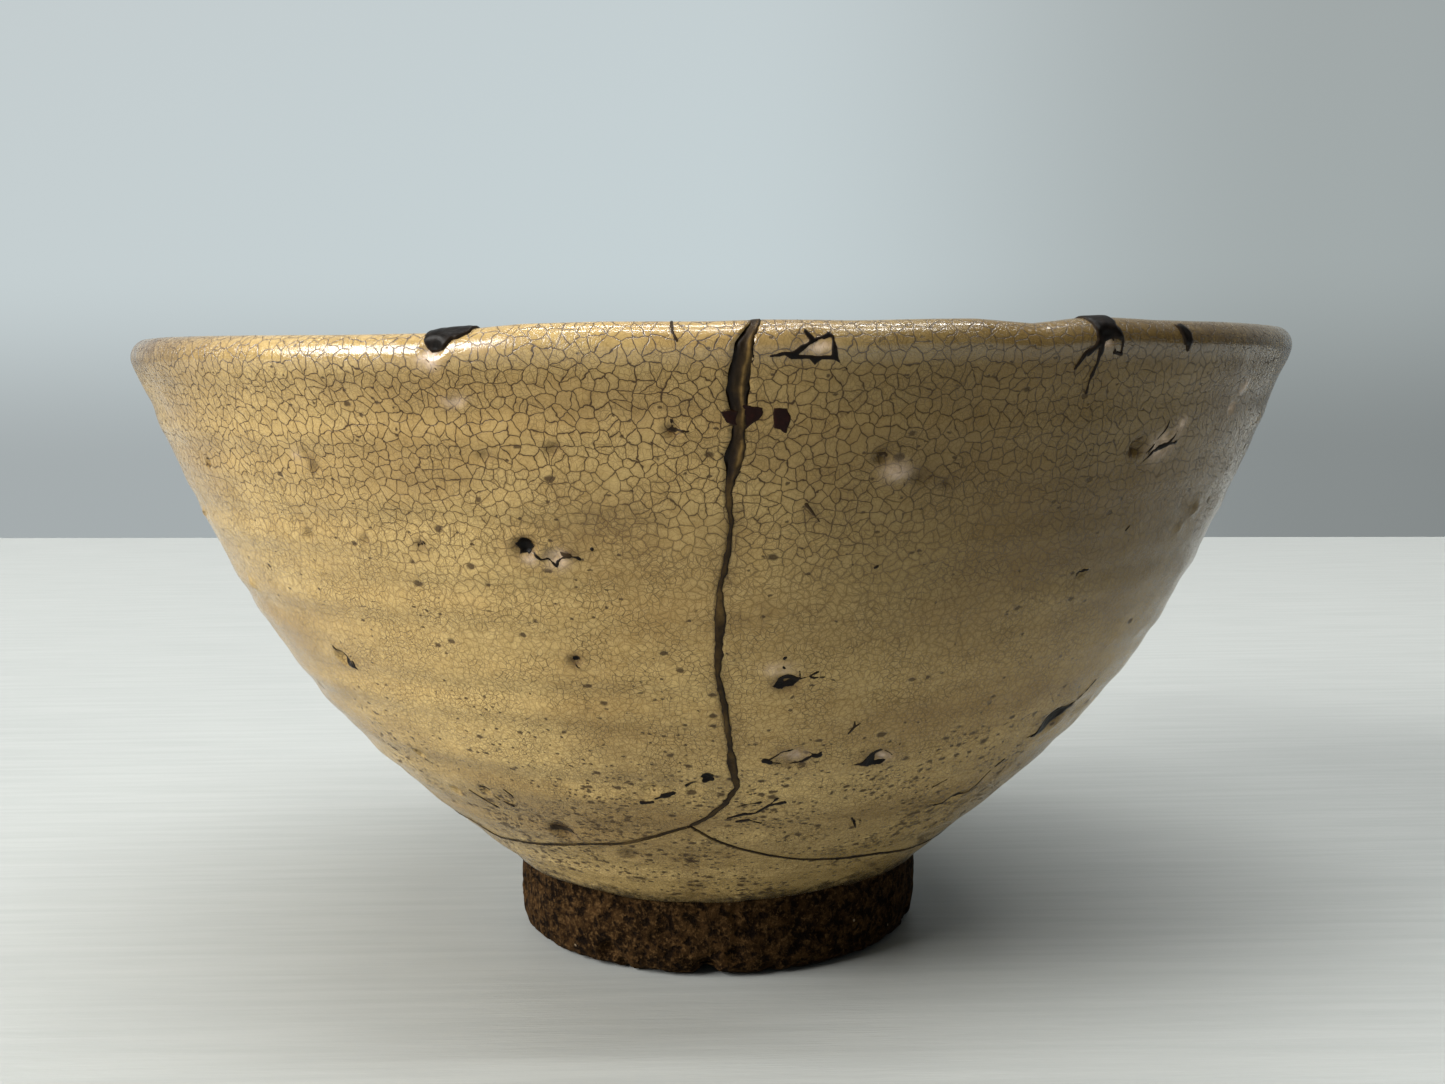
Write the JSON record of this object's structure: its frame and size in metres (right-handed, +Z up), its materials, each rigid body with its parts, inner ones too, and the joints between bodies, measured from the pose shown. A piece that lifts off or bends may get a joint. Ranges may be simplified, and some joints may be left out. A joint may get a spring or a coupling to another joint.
{
  "type": "tea bowl",
  "caption": "Wide conical stoneware bowl on a bare foot ring, broken into sherds and mended with dark lacquer, for whisking and drinking powdered tea.",
  "frame": {"origin": "centre of the foot's resting face", "axes": "+Z up along the bowl's axis; -Y towards the front, where the main seam runs down; +X to the right seen from the front"},
  "size_m": [0.15, 0.15, 0.081],
  "materials": {
    "clay": "rough unglazed dark brown stoneware",
    "glaze": "glossy ochre glaze with a net of brown crackle",
    "seam_lacquer": "worn dark olive-brown lacquer with traces of gold",
    "fill_lacquer": "black lacquer",
    "patch_lacquer": "dark red-brown lacquer"
  },
  "bodies": {
    "root": {"left_wall": "clay", "right_wall": "clay", "foot_base": "clay", "left_wall_glaze": "glaze", "right_wall_glaze": "glaze", "foot_base_glaze": "glaze", "well_glaze": "glaze", "front_seam": "seam_lacquer", "back_seam": "seam_lacquer", "left_ring_seam": "seam_lacquer", "right_ring_seam": "seam_lacquer", "left_rim_fill": "fill_lacquer", "right_rim_fill": "fill_lacquer", "small_rim_fill": "fill_lacquer", "star_crack_fill": "fill_lacquer", "seam_patches": "patch_lacquer", "burst_fills": "fill_lacquer"}
  },
  "joints": []
}
